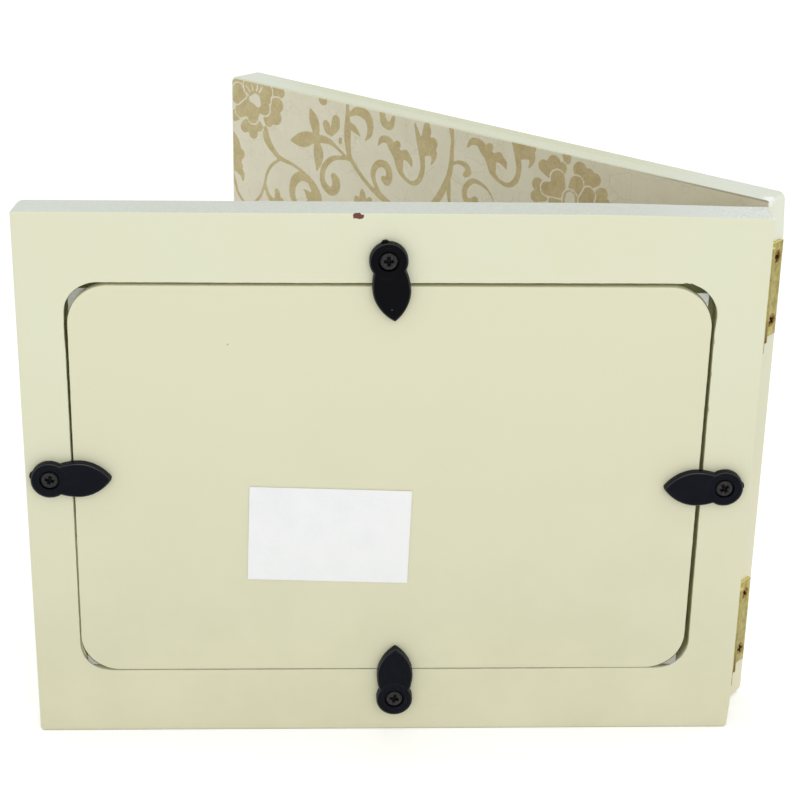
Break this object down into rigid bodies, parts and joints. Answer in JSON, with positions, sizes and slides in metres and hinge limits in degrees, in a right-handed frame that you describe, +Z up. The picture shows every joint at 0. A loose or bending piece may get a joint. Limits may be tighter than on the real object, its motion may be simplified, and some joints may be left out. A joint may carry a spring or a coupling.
{
  "type": "hinged photo frame",
  "caption": "Book-style photo frame that stands open: a routed panel with glass and a back board held by turn buttons, hinged to a cover panel lined with printed paper.",
  "frame": {"origin": "centre of the frame panel's lower face, which stands on the table", "axes": "+Z up; +X along the frame panel's width, towards the hinges; the frame panel's back faces -Y and its front, with the window, +Y"},
  "size_m": [0.1894, 0.1415, 0.1436],
  "materials": {
    "cream_paint": "satin cream paint on fibreboard",
    "board_paint": "eggshell cream paint on fibreboard",
    "printed_paper": "matt printed paper, pale crackled ground with tan scroll ornament",
    "clear_glass": "clear",
    "white_card": "matt pale card",
    "label_paper": "semi-matt white paper",
    "black_plastic": "moulded, slightly glossy edges",
    "black_steel": "blackened",
    "brass": "brushed, slightly tarnished",
    "brass_screw": "tarnished"
  },
  "bodies": {
    "frame": {"frame_panel": "cream_paint", "glass_pane": "clear_glass", "photo_insert": "white_card", "back_board": "board_paint", "blank_label": "label_paper", "turn_button_screw_top": "black_steel", "turn_button_screw_left": "black_steel", "turn_button_screw_right": "black_steel", "turn_button_screw_bottom": "black_steel", "hinge_upper_frame_leaf": "brass", "hinge_upper_pin": "brass", "hinge_upper_frame_screw_top": "brass_screw", "hinge_upper_frame_screw_bottom": "brass_screw", "hinge_lower_frame_leaf": "brass", "hinge_lower_pin": "brass", "hinge_lower_frame_screw_top": "brass_screw", "hinge_lower_frame_screw_bottom": "brass_screw"},
    "cover": {"cover_panel": "cream_paint", "cover_paper": "printed_paper", "hinge_upper_cover_leaf": "brass", "hinge_upper_cover_screw_top": "brass_screw", "hinge_upper_cover_screw_bottom": "brass_screw", "hinge_lower_cover_leaf": "brass", "hinge_lower_cover_screw_top": "brass_screw", "hinge_lower_cover_screw_bottom": "brass_screw"},
    "button_top": {"turn_button_top": "black_plastic"},
    "button_left": {"turn_button_left": "black_plastic"},
    "button_right": {"turn_button_right": "black_plastic"},
    "button_bottom": {"turn_button_bottom": "black_plastic"}
  },
  "joints": [
    {"name": "cover_hinge", "type": "hinge", "parent": "frame", "child": "cover", "pos_m": [0.093, 0.0053, 0.0718], "axis": [0, 0, -1], "range_deg": [-41.66, 138.34]},
    {"name": "turn_top", "type": "hinge", "parent": "frame", "child": "button_top", "pos_m": [-0.0015, -0.0057, 0.13195], "axis": [0, -1, 0], "range_deg": [-90, 90]},
    {"name": "turn_left", "type": "hinge", "parent": "frame", "child": "button_left", "pos_m": [-0.0853, -0.0057, 0.07395], "axis": [0, -1, 0], "range_deg": [-90, 90]},
    {"name": "turn_right", "type": "hinge", "parent": "frame", "child": "button_right", "pos_m": [0.08455, -0.0057, 0.0716], "axis": [0, -1, 0], "range_deg": [-90, 90]},
    {"name": "turn_bottom", "type": "hinge", "parent": "frame", "child": "button_bottom", "pos_m": [0.0018, -0.0057, 0.0103], "axis": [0, -1, 0], "range_deg": [-90, 90]}
  ]
}
